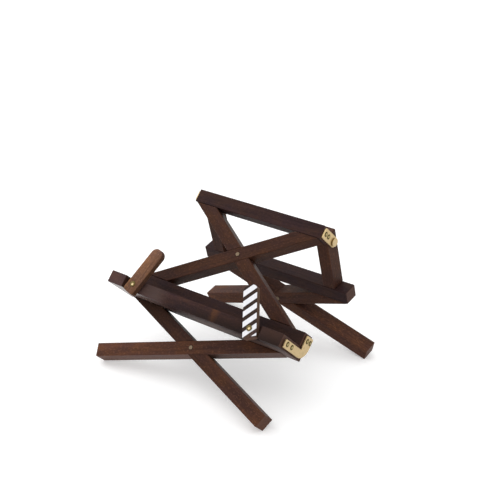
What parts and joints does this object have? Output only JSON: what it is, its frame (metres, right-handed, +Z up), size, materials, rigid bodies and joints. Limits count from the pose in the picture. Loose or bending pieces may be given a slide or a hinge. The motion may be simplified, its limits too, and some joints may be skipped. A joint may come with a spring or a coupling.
{
  "type": "reading stand",
  "caption": "Folding tabletop reading stand: wooden ledge with two swinging page arms, crossed wooden legs and back bars, brass corner plates, and a hinged rear frame.",
  "frame": {"origin": "middle of the footprint of the whole open stand, on the surface it stands on", "axes": "+X along the ledge, to the right seen from the reader; +Y from the reader to the back; +Z up"},
  "size_m": [0.1846, 0.1636, 0.1306],
  "materials": {
    "rail_wood": "dark purple-brown oiled hardwood, satin",
    "leg_wood": "dark reddish-brown oiled hardwood, satin",
    "arm_wood": "mid-brown hardwood, satin",
    "striped_wood": "dark hardwood, front face painted with white slanting stripes",
    "dowel_wood": "plain light hardwood dowel, hidden",
    "brass": "brushed brass"
  },
  "bodies": {
    "front_frame": {"arm_screw_left": "brass", "arm_screw_right": "brass", "arm_washer_left": "brass", "arm_washer_right": "brass", "back_bar_dowel_left": "dowel_wood", "back_bar_dowel_right": "dowel_wood", "back_bar_left": "leg_wood", "back_bar_right": "leg_wood", "back_bar_rivet": "brass", "back_rail": "rail_wood", "end_plate_left": "brass", "end_plate_left_rivet_1": "brass", "end_plate_left_rivet_2": "brass", "end_plate_left_rivet_3": "brass", "end_plate_left_rivet_4": "brass", "end_plate_right": "brass", "end_plate_right_rivet_1": "brass", "end_plate_right_rivet_2": "brass", "end_plate_right_rivet_3": "brass", "end_plate_right_rivet_4": "brass", "front_leg_dowel_left": "dowel_wood", "front_leg_dowel_right": "dowel_wood", "front_leg_left": "leg_wood", "front_leg_right": "leg_wood", "front_leg_rivet": "brass", "hinge_pin_left": "brass", "hinge_pin_right": "brass", "hinge_plate_left": "brass", "hinge_plate_left_rivet_1": "brass", "hinge_plate_left_rivet_2": "brass", "hinge_plate_right": "brass", "hinge_plate_right_rivet_1": "brass", "hinge_plate_right_rivet_2": "brass", "ledge": "rail_wood", "ledge_dowel_left": "dowel_wood", "ledge_dowel_right": "dowel_wood", "top_rail": "rail_wood", "top_rail_dowel_left": "dowel_wood", "top_rail_dowel_right": "dowel_wood"},
    "left_arm": {"page_arm_left": "arm_wood"},
    "right_arm": {"page_arm_right": "striped_wood"},
    "rear_frame": {"rear_leg_dowel_left": "dowel_wood", "rear_leg_dowel_right": "dowel_wood", "rear_leg_left": "leg_wood", "rear_leg_right": "leg_wood", "rear_leg_rivet": "brass", "rear_post_dowel_left": "dowel_wood", "rear_post_dowel_right": "dowel_wood", "rear_post_left": "leg_wood", "rear_post_right": "leg_wood", "rear_rail": "rail_wood"}
  },
  "joints": [
    {"name": "left_arm_swing", "type": "hinge", "parent": "front_frame", "child": "left_arm", "pos_m": [-0.0636, -0.05664, 0.07344], "axis": [0, 0.7373, -0.6756], "range_deg": [-45, 74]},
    {"name": "right_arm_swing", "type": "hinge", "parent": "front_frame", "child": "right_arm", "pos_m": [0.06, -0.05664, 0.07344], "axis": [0, -0.7373, 0.6756], "range_deg": [-56, 63]},
    {"name": "rear_fold", "type": "hinge", "parent": "front_frame", "child": "rear_frame", "pos_m": [0, 0.04394, 0.11305], "axis": [-1, 0, 0], "range_deg": [0, 58]}
  ]
}
